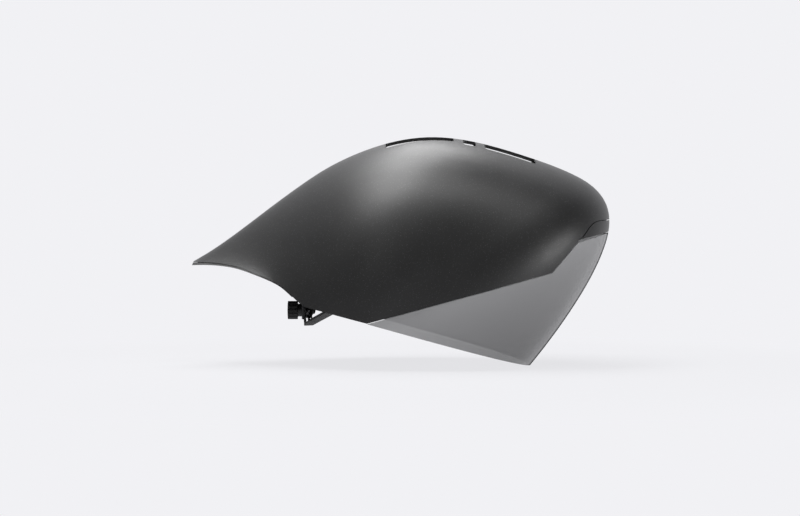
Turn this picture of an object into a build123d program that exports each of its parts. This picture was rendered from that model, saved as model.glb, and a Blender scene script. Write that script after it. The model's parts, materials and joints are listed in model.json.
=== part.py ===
"""Aero time trial helmet with its visor, foam liner, slip liner, straps and head fit mechanism.

Millimetres. +X is forward, +Z is up and the helmet is the same left and right of the plane Y = 0.
The origin is the centre of the head that wears it, at the height where the head is widest.
"""

import os
from math import atan2, cos, degrees, pi, radians, sin, sqrt
from typing import NamedTuple

from build123d import *

# The head and the room around it
head_length = 197.0
head_width = 155.0
head_rise = 76.0
fit_room = 7.5
side_fit_room = 8.5

# The outer form around the head cavity
front_room = 73.0
tail_room = 100.0
crown_wall = 28.5
side_wall = 23.0
neck_reach = 90.0

# Walls, gaps and clearances
shell_wall = 2.0
visor_wall = 2.2
visor_gap = 0.5
panel_gap = 0.5
bond_gap = 0.3
foam_lift = 1.5
panel_set_back = 0.6
panel_edge = 2.8
panel_end_edge = 0.8
panel_step = 2.0
panel_mouth = 80.0
panel_mouth_depth = 16.0
swing_gap = 1.4
slip_wall = 0.8
pad_gap = 0.3
pad_thickness = 4.5
run_out = 40.0
run_in = 5.0
half_turn = 180.0

# The windows in the crown, in two rows beside the middle
window_lip = 7.0
window_reach = 33.0
front_window_reach = 38.0
window_corner = 3.0
vent_depth = 13.0
vent_margin = 2.0
vent_slot_width = 14.0
vent_slot_side = 20.0

# The tabs and magnets that hold the visor
tab_length = 24.0
tab_rise = 10.0
tab_drop = 5.0
tab_wall = 2.4
tab_gap = 0.9
tab_joint = 0.5
tab_room = 1.0
magnet_radius = 3.5
magnet_thickness = 2.0
magnet_rise = 4.0
magnet_cover = 0.3
magnet_sink = 0.8
magnet_gap = 0.1

# The slip liner, its anchors and the pads
slip_edge = 3.0
slip_slot_width = 18.0
anchor_stem_radius = 2.4
anchor_head_radius = 5.0
anchor_head = 1.5
anchor_flange = 0.8
anchor_level = 16.0
anchor_room = 7.0
anchor_pocket = 2.2
pad_corner = 6.0
pad_edge = 5.0
brow_pad_length = 112.0
brow_pad_height = 20.0
brow_pad_start = 40.0
crown_pad_length = 84.0
crown_pad_width = 14.0
side_pad_length = 62.0
side_pad_height = 24.0
side_pad_shift = -12.0

# The recess behind the head and the fit mechanism in it
recess_depth = 30.0
recess_width = 132.0
recess_roof = -5.0
corridor_gap = 8.0
nape_room = 4.0
ring_radius = 77.0
cradle_wall = 3.0
cradle_top = -30.0
cradle_height = 16.0
cradle_width = 86.0
saddle_width = 38.0
saddle_bottom = -52.5
cradle_corner = 4.0
stem_width = 13.0
stem_top = -16.0
track_wall = 2.0
track_gap = 0.4
track_hold = 5.5
track_lip = 1.8
track_flange = 4.0
flange_wall = 1.6

# The two rack belts, the pinion between them and the dial
rack_gap = 0.5
rack_wall = 1.4
rack_layer_gap = 0.4
rack_height = 2.5
rack_arc = 12.0
rack_teeth = 12
belt_height = 11.0
belt_start_arc = 22.0
belt_end_arc = 36.0
pinion_radius = 3.2
pinion_teeth = 10
tooth_rise = 0.4
tooth_root = 0.6
tooth_foot = 1.1
tooth_tip = 0.45
shaft_radius = 1.5
fit_gap = 0.05
housing_wall = 2.2
housing_top = -33.0
housing_bottom = -56.5
housing_boss_radius = 6.0
housing_boss = 3.4
post_radius = 2.2
post_side = 14.0
post_gap = 0.6
dial_axis_height = -48.5
dial_radius = 8.6
dial_length = 9.0
dial_gap = 0.5
dial_lobes = 14
dial_lobe_radius = 1.2
dial_well = 3.4
dial_rim = 2.4
spring_wall = 0.8
spring_gap = 0.3
spring_room = 0.5
spring_mid_arc = 50.0
spring_end_arc = 120.0
screw_head_radius = 2.8
screw_head = 1.4
screw_radius = 0.9
screw_depth = 6.0
post_screw_depth = 5.2
nape_pad_thickness = 4.7
nape_pad_start_arc = 12.0
nape_pad_margin = 1.5

# The webbing and its hardware
web_width = 15.0
web_thickness = 1.6
web_gap = 0.5
web_bend = 4.0
strap_front = 20.0
strap_front_room = 5.0
strap_front_top = -18.0
strap_rear_room = 10.1
strap_rear_side = 30.0
strap_rear_top = -1.0
strap_knee = -42.0
strap_lean = 1.8
strap_low = -61.0
strap_crook_room = 28.0
strap_crook_margin = 3.5
strap_crook_height = -45.0
strap_fold_lap = 2.0
groove_depth = 5.0
groove_gap = 1.0
strap_anchor_length = 7.0
strap_anchor_height = 5.0
strap_anchor_lap = 2.0
divider_height = 9.0
divider_wall = 1.2
divider_gap = 0.15
divider_level = -30.0
chin_strap_level = -14.5
chin_strap_fold = 50.0
chin_strap_bend = 2.4
chin_strap_room = 17.5
buckle_half = 12.5
buckle_lap = 0.8
buckle_bar = 6.0
buckle_width = 17.0
buckle_plate = 3.2
buckle_stud_radius = 4.5
buckle_stud = 2.4
keeper_length = 6.0
keeper_wall = 1.0
keeper_place = 32.0
chin_pad_length = 14.0
chin_pad_place = 35.0
chin_pad_wall = 1.6

# Sizes that follow from the ones above
cavity_length = head_length / 2 + fit_room
cavity_width = head_width / 2 + side_fit_room
strap_front_side = cavity_width + strap_front_room
strap_rear = -cavity_length - strap_rear_room
strap_crook = -cavity_length + strap_crook_room
strap_crook_side = recess_width / 2 - strap_crook_margin
chin_strap_plane = -cavity_length - chin_strap_room
cavity_rise = head_rise + side_fit_room
crest_height = cavity_rise + crown_wall
half_width = cavity_width + side_wall
front_reach = cavity_length + front_room
tail_reach = cavity_length + tail_room
reach_across = half_width + run_out
recess_back = -cavity_length - recess_depth
ring_centre = ring_radius - cavity_length - nape_room
cradle_back = ring_radius + cradle_wall
left_layer = cradle_back + rack_gap
right_layer = left_layer + rack_wall + rack_layer_gap
housing_layer = right_layer + rack_wall + rack_gap
housing_back = ring_centre - housing_layer - housing_wall - housing_boss
dial_front = housing_back - dial_gap
dial_back = dial_front - dial_length
rack_line = pinion_radius + tooth_root
chin_strap_end = buckle_half + buckle_bar + web_gap
housing_arc = degrees(atan2(saddle_width / 2, housing_layer))
post_end = ring_centre - sqrt(cradle_back**2 - post_side**2) - post_gap
post_start = ring_centre - sqrt(housing_layer**2 - post_side**2) - housing_wall / 2
post_places = ((post_side, dial_axis_height), (-post_side, dial_axis_height))
post_screw_face = ring_centre - ring_radius - cradle_wall / 2
post_screw_end = post_screw_face - post_screw_depth
liner_outside = swing_gap
liner_inside = swing_gap + slip_wall
anchor_outside = liner_outside - pad_gap
anchor_inside = liner_inside + pad_gap
whole_length = front_reach + tail_reach + 2 * run_out
whole_height = crest_height + neck_reach + 2 * run_out


def side_point(shares):
    """A point of the side view from its shares: along the helmet, and of the crest's height."""
    along, up = shares
    reach = front_reach if along > 0 else tail_reach
    return (along * reach, up * crest_height)


class Rib(NamedTuple):
    """One rib of the outer form: a curve from rim to rim over the crest, in a plane across.

    crest_share and foot_share are the ends of the rib's plane in the side view. The widths are
    shares of the half width and side_rise_share is a share of the rib's own height: they place
    the rim, the two handles of the curve on each side, and so the swell of the helmet there.
    """

    crest_share: tuple
    foot_share: tuple
    rim_share: float
    side_share: float
    side_rise_share: float
    crest_width_share: float


# From the tail's tip forward over the crown, round the brow and down the visor to below its tip
ribs = (
    Rib((-1.078, -0.036), (-1.078, -0.089), 0.180, 0.14, 0.30, 0.09),
    Rib((-1.000, 0.048), (-0.995, -0.085), 0.285, 0.20, 0.22, 0.11),
    Rib((-0.887, 0.190), (-0.879, -0.107), 0.400, 0.28, 0.15, 0.15),
    Rib((-0.724, 0.414), (-0.718, -0.222), 0.580, 0.47, 0.20, 0.24),
    Rib((-0.561, 0.629), (-0.573, -0.444), 0.730, 0.72, 0.35, 0.38),
    Rib((-0.398, 0.804), (-0.437, -0.516), 0.845, 0.90, 0.48, 0.52),
    Rib((-0.208, 0.936), (-0.372, -0.552), 0.905, 1.01, 0.54, 0.63),
    Rib((0.011, 0.994), (-0.333, -0.582), 0.935, 1.06, 0.59, 0.71),
    Rib((0.260, 0.944), (-0.308, -0.602), 0.947, 1.08, 0.61, 0.75),
    Rib((0.510, 0.829), (-0.294, -0.613), 0.950, 1.08, 0.61, 0.77),
    Rib((0.729, 0.696), (-0.286, -0.618), 0.950, 1.08, 0.61, 0.79),
    Rib((0.849, 0.578), (-0.282, -0.621), 0.950, 1.08, 0.61, 0.82),
    Rib((0.912, 0.440), (-0.278, -0.625), 0.950, 1.08, 0.61, 0.84),
    Rib((0.927, 0.276), (-0.273, -0.629), 0.950, 1.08, 0.61, 0.85),
    Rib((0.894, 0.060), (-0.266, -0.634), 0.950, 1.08, 0.61, 0.84),
    Rib((0.825, -0.175), (-0.256, -0.650), 0.950, 1.08, 0.60, 0.81),
    Rib((0.732, -0.418), (-0.238, -0.694), 0.950, 1.07, 0.595, 0.78),
    Rib((0.617, -0.676), (-0.210, -0.755), 0.950, 1.05, 0.58, 0.75),
    Rib((0.503, -0.903), (-0.175, -0.832), 0.950, 1.04, 0.57, 0.72),
    Rib((0.408, -1.080), (-0.141, -0.912), 0.950, 1.04, 0.57, 0.70),
)

# Edges of the pieces in the side view, as shares like the ribs' ends
tail_edge_shares = (
    (-1.068, -0.034),
    (-0.988, -0.036),
    (-0.917, -0.048),
    (-0.845, -0.075),
    (-0.773, -0.121),
    (-0.703, -0.172),
    (-0.651, -0.223),
    (-0.601, -0.300),
    (-0.566, -0.354),
)
nape_corner_share = (-0.543, -0.383)
ear_corner_share = (-0.275, -0.505)
seam_bend_share = (0.588, -0.115)
seam_rise_share = (0.7205, 0.123)
seam_front_share = (0.955, 0.232)
brow_seam_shares = (
    (0.730, 0.148),
    (0.767, 0.206),
    (0.792, 0.256),
    (0.812, 0.281),
    (0.850, 0.300),
    (0.955, 0.340),
)
visor_tip_share = (0.521, -0.874)
window_span_shares = ((-0.200, 0.118), (0.166, 0.230), (0.276, 0.536))
vent_slot_span_shares = ((-0.290, 0.100), (0.510, 0.810))
tab_place_shares = (-0.10, 0.25)
tail_foam_end_share = -1.000
panel_front_share = -0.601


def along_x(share):
    """The place along the helmet of a share of its reach."""
    return side_point((share, 0))[0]


nape_corner = side_point(nape_corner_share)
ear_corner = side_point(ear_corner_share)
seam_bend = side_point(seam_bend_share)
seam_rise = side_point(seam_rise_share)
seam_front = side_point(seam_front_share)
visor_tip = side_point(visor_tip_share)
tail_edge = [side_point(shares) for shares in tail_edge_shares]
brow_seam = [side_point(shares) for shares in brow_seam_shares]
seam_slope = (Vector(*seam_bend) - Vector(*ear_corner)).normalized()
seam_rise_way = Vector(-seam_slope.Y, seam_slope.X)


def crest_slant(index):
    """How squarely a rib meets the crest line: 1 where it stands straight on it."""
    before = Vector(*side_point(ribs[max(index - 1, 0)].crest_share))
    after = Vector(*side_point(ribs[min(index + 1, len(ribs) - 1)].crest_share))
    rib = ribs[index]
    rise = Vector(*side_point(rib.crest_share)) - Vector(*side_point(rib.foot_share))
    return (after - before).normalized().cross(rise.normalized()).length


def outer_form(inset):
    """The solid inside the helmet's outer surface, drawn in from it on all sides by inset.

    Its flat underside goes down by inset instead, so that one form cuts through another there.
    """
    with BuildPart() as form:
        for index, rib in enumerate(ribs):
            foot = side_point(rib.foot_share)
            rise = Vector(*side_point(rib.crest_share)) - Vector(*foot)
            height = rise.length - inset / crest_slant(index)
            rim = rib.rim_share * half_width - inset
            side = (rib.side_share * half_width - inset, rib.side_rise_share * height)
            over = (rib.crest_width_share * (half_width - inset), height)
            plane = Plane((foot[0], 0, foot[1]), x_dir=(0, 1, 0), z_dir=(rise.Y, 0, -rise.X))
            with BuildSketch(plane):
                with BuildLine():
                    Bezier((rim, 0), side, over, (0, height))
                    Bezier((0, height), (-over[0], over[1]), (-side[0], side[1]), (-rim, 0))
                    if inset:
                        Polyline((-rim, 0), (-rim, -inset), (rim, -inset), (rim, 0))
                    else:
                        Line((-rim, 0), (rim, 0))
                make_face()
        loft()
    return form.part


def head_form(inset):
    """The head cavity, drawn in by inset: half an ellipsoid with a straight neck below it."""
    length = cavity_length - inset
    width = cavity_width - inset
    with BuildPart() as form:
        Sphere(radius=length, arc_size1=0, align=(Align.CENTER, Align.CENTER, Align.MIN))
        scale(by=(1, width / length, (cavity_rise - inset) / length))
        with BuildSketch():
            Ellipse(length, width)
        extrude(amount=-neck_reach)
    return form.part


def half_at(body, x, z):
    """The half width of a body at a place in the side view."""
    hits = body.find_intersection_points(Axis((x, 0, z), (0, 1, 0)))
    return max(point.Y for point, _ in hits)


def ring_point(radius, arc):
    """A point of the head ring in plan: its radius, and its arc in degrees left of the rear."""
    return (ring_centre - radius * cos(radians(arc)), radius * sin(radians(arc)))


def ring_band(radius, wall, start, end, level):
    """A band of the head ring in plan: from its inner radius, between two arcs, at a level."""
    with BuildSketch(Plane.XY.offset(level)) as band:
        with BuildLine():
            inner = CenterArc((ring_centre, 0), radius, half_turn - end, end - start)
            outer = CenterArc((ring_centre, 0), radius + wall, half_turn - end, end - start)
            Line(inner @ 0, outer @ 0)
            Line(inner @ 1, outer @ 1)
        make_face()
    return band.sketch


def run_plane(start, end):
    """The upright plane of a run of webbing between two places in plan: X runs along it."""
    along = (Vector(*end) - Vector(*start)).normalized()
    return Plane((*start, 0), x_dir=(along.X, along.Y, 0), z_dir=(along.Y, -along.X, 0))


def strap_planes(side):
    """The planes of a side strap's two runs: along the head, and from the crook to the rear."""
    front = (strap_front, side * strap_front_side)
    crook = (strap_crook, side * strap_crook_side)
    low = (strap_rear + strap_lean, side * strap_rear_side)
    return run_plane(front, crook), run_plane(crook, low)


def strap_run(x):
    """How far back along the first run a place along the helmet is."""
    whole = Vector(strap_front - strap_crook, strap_front_side - strap_crook_side).length
    return whole * (strap_front - x) / (strap_front - strap_crook)


def seam_height(x):
    """The height of the visor's seam at a place along the helmet."""
    return ear_corner[1] + (x - ear_corner[0]) * seam_slope.Y / seam_slope.X


def strap_places():
    """The corners of a side strap's middle line: its first run, its second, and its rear leg."""
    web_rise = foam_lift + groove_depth - web_gap - web_thickness / 2
    flat = web_width / 2
    crook = strap_run(strap_crook)
    back = Vector(strap_crook - strap_rear - strap_lean, strap_crook_side - strap_rear_side).length
    first = (
        (0, strap_front_top),
        (0, seam_height(strap_front) + web_rise),
        (strap_run(ear_corner[0]), ear_corner[1] + web_rise),
        (crook - flat, strap_crook_height),
        (crook + flat, strap_crook_height),
    )
    second = (
        (-flat, strap_crook_height),
        (flat, strap_crook_height),
        (back - strap_fold_lap, strap_low),
        (back + flat, strap_low),
    )
    leg = (
        (strap_rear, strap_rear_top),
        (strap_rear, strap_knee),
        (strap_rear + strap_lean, strap_low),
    )
    return first, second, leg


def tab_location(share, shift):
    """Where a visor tab's sketch stands on the seam, its middle shifted up from the seam."""
    foot = Vector(along_x(share), seam_height(along_x(share))) + seam_rise_way * shift
    return Location((foot.X, foot.Y, 0), (0, 0, degrees(atan2(seam_slope.Y, seam_slope.X))))


def ellipse_reach(length, level, rise):
    """How far out the head cavity's wall is at a level above the origin."""
    return length * sqrt(1 - (level / rise) ** 2)


def mirrored(part, label):
    """The same piece on the other side of the helmet."""
    with BuildPart() as other:
        mirror(part, about=Plane.XZ)
    other.part.label = label
    return other.part


shell_face = outer_form(0)
shell_back = outer_form(shell_wall)
visor_back = outer_form(visor_wall)
foam_face = outer_form(visor_wall + visor_gap)
tab_face = outer_form(shell_wall + tab_gap)
tab_back = outer_form(shell_wall + tab_gap + tab_wall)
tab_floor = outer_form(shell_wall + tab_gap + tab_wall + tab_room)
head_cavity = head_form(0)

# Outer shell: all above the tail's edge, the nape, the visor's seam and the brow cover
with BuildPart() as outer_shell:
    add(shell_face)
    add(shell_back, mode=Mode.SUBTRACT)
    with BuildSketch(Plane.XZ):
        with BuildLine():
            rim = Spline(tail_edge)
            Polyline(rim @ 1, nape_corner, ear_corner, seam_bend, seam_rise, brow_seam[0])
            brow = Spline(brow_seam)
            ahead = (brow @ 1).X + run_out
            above = crest_height + run_out
            behind = (rim @ 0).X
            Polyline(brow @ 1, (ahead, (brow @ 1).Y), (ahead, above), (behind, above), rim @ 0)
        make_face()
    extrude(amount=reach_across, both=True, mode=Mode.INTERSECT)
    with BuildSketch(Plane.XY.offset(cavity_rise)):
        for index, (start_share, end_share) in enumerate(window_span_shares):
            start = along_x(start_share)
            end = along_x(end_share)
            middle = (start + end) / 2
            reach = front_window_reach if index else window_reach
            side = (window_lip + reach) / 2
            with Locations((middle, side), (middle, -side)):
                RectangleRounded(end - start, reach - window_lip, window_corner)
    extrude(amount=crest_height, mode=Mode.SUBTRACT)
outer_shell.part.label = "outer_shell"

# Brow cover: the small front piece between the shell and the visor
with BuildPart() as brow_cover:
    add(shell_face)
    add(shell_back, mode=Mode.SUBTRACT)
    with BuildSketch(Plane.XZ):
        with BuildLine():
            top_line = Spline([(x + panel_gap, z - panel_gap) for x, z in brow_seam])
            end = top_line @ 1
            ahead = end.X + run_out
            Polyline(end, (ahead, end.Y), (ahead, seam_front[1]), seam_front, top_line @ 0)
        make_face()
    extrude(amount=reach_across, both=True, mode=Mode.INTERSECT)
brow_cover.part.label = "brow_cover"


def panel_layer(inset, lift):
    """One layer of the under tail panel, up to a height above the shell's edge."""
    start = tail_edge[0][0]
    taper = (panel_end_edge - panel_edge) / (panel_front - start)
    with BuildPart() as layer:
        add(outer_form(inset))
        with BuildSketch(Plane.XZ):
            with BuildLine():
                over = Spline([(x, z + lift) for x, z in tail_edge])
                under = Spline([(x, z - panel_edge - taper * (x - start)) for x, z in tail_edge])
                Line(over @ 0, under @ 0)
                Line(over @ 1, under @ 1)
            make_face()
        extrude(amount=reach_across, both=True, mode=Mode.INTERSECT)
        with BuildSketch(Plane.XZ):
            with Locations((panel_front, 0)):
                Rectangle(whole_length, whole_height, align=(Align.MIN, Align.CENTER))
        extrude(amount=reach_across, both=True, mode=Mode.SUBTRACT)
    return layer.part


# Under tail panel: closes the tail from below, with a step up inside the shell
panel_front = along_x(panel_front_share)
with BuildPart() as under_tail_panel:
    add(panel_layer(panel_set_back, -bond_gap))
    add(panel_layer(visor_wall + visor_gap, panel_step))
    with BuildSketch():
        with Locations((panel_front, 0)):
            RectangleRounded(2 * panel_mouth_depth, panel_mouth, pad_corner)
    extrude(amount=crest_height, both=True, mode=Mode.SUBTRACT)
under_tail_panel.part.label = "under_tail_panel"

# Visor: all between its seam and its straight lower edge, with four tabs up behind the shell
with BuildPart() as visor_tabs:
    add(tab_face)
    with BuildSketch(Plane.XZ):
        for share in tab_place_shares:
            with Locations(tab_location(share, (tab_rise - tab_drop) / 2)):
                RectangleRounded(tab_length, tab_rise + tab_drop, magnet_cover + tab_gap)
    extrude(amount=reach_across, both=True, mode=Mode.INTERSECT)
    add(tab_back, mode=Mode.SUBTRACT)

with BuildPart() as tab_joints:
    add(outer_form(visor_wall - tab_joint))
    with BuildSketch(Plane.XZ):
        for share in tab_place_shares:
            with Locations(tab_location(share, -(tab_drop + panel_gap) / 2)):
                joint_rise = tab_drop - panel_gap - 2 * tab_joint
                Rectangle(tab_length - 2 * tab_joint, joint_rise)
    extrude(amount=reach_across, both=True, mode=Mode.INTERSECT)
    add(outer_form(shell_wall + tab_gap + tab_wall - tab_joint), mode=Mode.SUBTRACT)

with BuildPart() as visor:
    add(shell_face)
    add(visor_back, mode=Mode.SUBTRACT)
    with BuildSketch(Plane.XZ):
        with BuildLine():
            drop = seam_rise_way * -panel_gap
            edge_way = (Vector(*visor_tip) - Vector(*ear_corner)).normalized()
            below = Vector(*visor_tip) + edge_way * run_out
            rear = Vector(*ear_corner) + drop
            bend = Vector(*seam_bend) + drop
            climb = Vector(*seam_rise) + (panel_gap, -panel_gap)
            front = Vector(*seam_front) + (panel_gap, -panel_gap)
            ahead = front.X + run_out
            Polyline(rear, bend, climb, front, (ahead, front.Y), (ahead, below.Y), below, rear)
        make_face()
    extrude(amount=reach_across, both=True, mode=Mode.INTERSECT)
    add(visor_tabs.part)
    add(tab_joints.part)

# The magnets' places, and the rounds that they fill, in the visor's tabs and in the foam
magnet_places = [tab_location(share, magnet_rise).position for share in tab_place_shares]
with BuildPart() as visor_magnets:
    for place in magnet_places:
        face = half_at(tab_face, place.X, place.Y) - magnet_cover
        with BuildSketch(Plane.XZ.offset(face)):
            with Locations((place.X, place.Y)):
                Circle(magnet_radius)
        extrude(amount=-magnet_thickness)
    mirror(about=Plane.XZ)
visor_magnets.part.label = "visor_magnets"

with BuildPart() as visor_magnet_rounds:
    for place in magnet_places:
        with BuildSketch(Plane.XZ.offset(half_at(tab_face, place.X, place.Y) + tab_gap)):
            with Locations((place.X, place.Y)):
                Circle(magnet_radius + magnet_gap)
        extrude(amount=-tab_gap - tab_wall - run_in)
    mirror(about=Plane.XZ)

with visor:
    add(visor_magnet_rounds.part, mode=Mode.SUBTRACT)
visor.part.label = "visor"

with BuildPart() as shell_magnets:
    for place in magnet_places:
        with BuildSketch(Plane.XZ.offset(half_at(tab_floor, place.X, place.Y) - magnet_sink)):
            with Locations((place.X, place.Y)):
                Circle(magnet_radius)
        extrude(amount=-magnet_thickness)
    mirror(about=Plane.XZ)
shell_magnets.part.label = "shell_magnets"

with BuildPart() as shell_magnet_rounds:
    for place in magnet_places:
        with BuildSketch(Plane.XZ.offset(half_at(tab_floor, place.X, place.Y) + tab_room)):
            with Locations((place.X, place.Y)):
                Circle(magnet_radius + magnet_gap)
        extrude(amount=-(tab_room + magnet_sink + magnet_thickness + magnet_gap))
    mirror(about=Plane.XZ)

# The room that the visor's tabs slide up into, in the foam's outer face
with BuildPart() as tab_rooms:
    with BuildSketch(Plane.XZ):
        for share in tab_place_shares:
            with Locations(tab_location(share, (tab_rise - tab_drop) / 2)):
                Rectangle(tab_length + 2 * tab_room, tab_rise + tab_drop + 2 * tab_room)
    extrude(amount=reach_across, both=True)
    add(tab_floor, mode=Mode.SUBTRACT)

# The webbing's grooves in the foam, and the pockets of its anchors
with BuildPart() as strap_grooves:
    first, second, leg = strap_places()
    low = strap_low - run_out
    anchor_length = strap_anchor_length + 2 * bond_gap
    anchor_height = strap_anchor_height + 2 * bond_gap
    anchor_reach = web_width / 2 + strap_anchor_lap + bond_gap
    for side in (1, -1):
        first_plane, second_plane = strap_planes(side)
        for plane, line, edge in ((first_plane, first, first[1:]), (second_plane, second, second)):
            with BuildSketch(plane):
                with BuildLine():
                    FilletPolyline(line, radius=web_bend)
                trace(line_width=web_thickness + 2 * web_gap)
                with BuildLine():
                    Polyline(*edge, (edge[-1][0], low), (edge[0][0], low), edge[0])
                make_face()
            extrude(amount=web_width / 2 + groove_gap, both=True)
        with BuildSketch(first_plane):
            with Locations((0, strap_front_top + strap_anchor_height / 2)):
                Rectangle(anchor_length, anchor_height)
        extrude(amount=anchor_reach, both=True)
        with BuildSketch(Plane.XY.offset(recess_roof - run_in)):
            with Locations((strap_rear, side * strap_rear_side)):
                Rectangle(web_thickness + 2 * web_gap, web_width + 2 * groove_gap)
        extrude(amount=strap_rear_top - recess_roof + run_in)
        with BuildSketch(Plane.XY.offset(strap_rear_top - bond_gap)):
            with Locations((strap_rear, side * strap_rear_side)):
                Rectangle(anchor_length, 2 * anchor_reach)
        extrude(amount=anchor_height)

# The recess behind the head, and the corridor round the ring
with BuildPart() as nape_recess:
    with BuildSketch(Plane.XY.offset(recess_roof)):
        with Locations((ring_centre, 0)):
            Circle(cradle_back + corridor_gap - cradle_wall)
        with Locations((recess_back / 2 + ring_centre / 2, 0)):
            Rectangle(ring_centre - recess_back, recess_width)
    extrude(amount=-neck_reach)

# The slip liner's anchors: a rubber stem through the liner with a head in a foam pocket
anchor_faces = (
    (Plane.YZ, ellipse_reach(cavity_length, anchor_level, cavity_rise)),
    (Plane.XZ, ellipse_reach(cavity_width, anchor_level, cavity_rise)),
)


def anchor_rounds(radius, start, end):
    """Rounds at the four anchors, between two distances out from the cavity's wall."""
    with BuildPart() as rounds:
        for plane, wall in anchor_faces:
            for way in (1, -1):
                with BuildSketch(plane.offset(way * (wall + start))):
                    with Locations((0, anchor_level)):
                        Circle(radius)
                extrude(amount=way * (end - start))
    return rounds.part


def anchor_layer(radius, outside, inside):
    """Rounds at the four anchors that follow the cavity's wall, between two insets from it."""
    with BuildPart() as layer:
        add(anchor_rounds(radius, -run_in - inside, run_in - outside))
        add(head_form(outside), mode=Mode.INTERSECT)
        add(head_form(inside), mode=Mode.SUBTRACT)
    return layer.part


with BuildPart() as slip_anchors:
    add(anchor_layer(anchor_head_radius, anchor_outside - anchor_head, anchor_outside))
    add(anchor_layer(anchor_head_radius, anchor_inside, anchor_inside + anchor_flange))
    stem_outside = anchor_outside - anchor_head / 2
    stem_inside = anchor_inside + anchor_flange / 2
    add(anchor_layer(anchor_stem_radius, stem_outside, stem_inside))
slip_anchors.part.label = "slip_anchors"

anchor_pockets = anchor_rounds(anchor_head_radius + anchor_room, -run_in, anchor_pocket)

with BuildPart() as foam_body:
    add(foam_face)
    with BuildSketch(Plane.XZ):
        with BuildLine():
            lift = panel_step + bond_gap
            floor_line = Spline([(x, z + lift) for x, z in tail_edge])
            ahead = front_reach + run_out
            behind = (floor_line @ 0).X
            Polyline(
                floor_line @ 1,
                (nape_corner[0], nape_corner[1] + foam_lift),
                (ear_corner[0], ear_corner[1] + foam_lift),
                (seam_bend[0], seam_bend[1] + foam_lift),
                (seam_rise[0], seam_rise[1] + foam_lift),
                (seam_front[0], seam_front[1] + foam_lift),
                (ahead, seam_front[1] + foam_lift),
                (ahead, crest_height + run_out),
                (behind, crest_height + run_out),
                floor_line @ 0,
            )
        make_face()
    extrude(amount=reach_across, both=True, mode=Mode.INTERSECT)

# The air channels below the crown windows, and the slots from them to the head
with BuildPart() as crown_channel:
    start = along_x(window_span_shares[0][0]) - vent_margin
    end = along_x(window_span_shares[-1][1]) + vent_margin
    with BuildSketch(Plane.XY.offset(cavity_rise / 2)):
        with Locations(((start + end) / 2, 0)):
            RectangleRounded(end - start, 2 * front_window_reach + 2 * vent_margin, pad_corner)
    extrude(amount=crest_height)
    add(outer_form(vent_depth), mode=Mode.SUBTRACT)


def crown_slots(width, margin):
    """The four air slots above the head in plan."""
    with BuildSketch() as slots:
        for start_share, end_share in vent_slot_span_shares:
            middle = (start_share + end_share) / 2 * cavity_length
            length = (end_share - start_share) * cavity_length + 2 * margin
            with Locations((middle, vent_slot_side), (middle, -vent_slot_side)):
                SlotOverall(length, width)
    return slots.sketch


with BuildPart() as foam_liner:
    add(foam_body.part)
    with BuildSketch(Plane.XZ):
        with Locations((recess_back, 0)):
            Rectangle(whole_length, whole_height, align=(Align.MIN, Align.CENTER))
    extrude(amount=reach_across, both=True, mode=Mode.INTERSECT)
    add(head_cavity, mode=Mode.SUBTRACT)
    add(nape_recess.part, mode=Mode.SUBTRACT)
    add(crown_channel.part, mode=Mode.SUBTRACT)
    extrude(crown_slots(vent_slot_width, 0), amount=crest_height, mode=Mode.SUBTRACT)
    add(tab_rooms.part, mode=Mode.SUBTRACT)
    add(shell_magnet_rounds.part, mode=Mode.SUBTRACT)
    add(strap_grooves.part, mode=Mode.SUBTRACT)
    add(anchor_pockets, mode=Mode.SUBTRACT)
foam_liner.part.label = "foam_liner"

with BuildPart() as tail_foam:
    add(foam_body.part)
    start = along_x(tail_foam_end_share)
    with BuildSketch(Plane.XZ):
        with Locations((start, 0)):
            Rectangle(recess_back - bond_gap - start, whole_height, align=(Align.MIN, Align.CENTER))
    extrude(amount=reach_across, both=True, mode=Mode.INTERSECT)
tail_foam.part.label = "tail_foam"

# Slip liner: a thin cap inside the foam that can turn a little round the head
with BuildPart() as slip_liner:
    add(head_form(liner_outside))
    add(head_form(liner_inside), mode=Mode.SUBTRACT)
    with BuildSketch(Plane.XY.offset(slip_edge)):
        Rectangle(whole_length, 2 * reach_across)
    extrude(amount=2 * cavity_rise, mode=Mode.INTERSECT)
    extrude(crown_slots(slip_slot_width, vent_margin), amount=crest_height, mode=Mode.SUBTRACT)
    for plane, wall in anchor_faces:
        with BuildSketch(plane):
            with Locations((0, anchor_level)):
                Circle(anchor_stem_radius + fit_gap)
        extrude(amount=wall, both=True, mode=Mode.SUBTRACT)
slip_liner.part.label = "slip_liner"

# Comfort pads on the slip liner's inside
pad_face = head_form(anchor_inside)
pad_back = head_form(anchor_inside + pad_thickness)
hollow_inside = anchor_inside + anchor_flange + pad_gap
anchor_hollows = anchor_layer(anchor_head_radius + pad_gap, 0, hollow_inside)

with BuildPart() as brow_pad:
    with BuildSketch(Plane.YZ.offset(brow_pad_start)):
        with Locations((0, pad_edge + brow_pad_height / 2)):
            RectangleRounded(brow_pad_length, brow_pad_height, pad_corner)
    extrude(amount=cavity_length)
    add(pad_face, mode=Mode.INTERSECT)
    add(pad_back, mode=Mode.SUBTRACT)
    add(anchor_hollows, mode=Mode.SUBTRACT)
brow_pad.part.label = "brow_pad"

with BuildPart() as crown_pad:
    with BuildSketch(Plane.XY):
        RectangleRounded(crown_pad_length, crown_pad_width, pad_corner)
    extrude(amount=2 * cavity_rise)
    add(pad_face, mode=Mode.INTERSECT)
    add(pad_back, mode=Mode.SUBTRACT)
crown_pad.part.label = "crown_pad"

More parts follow.
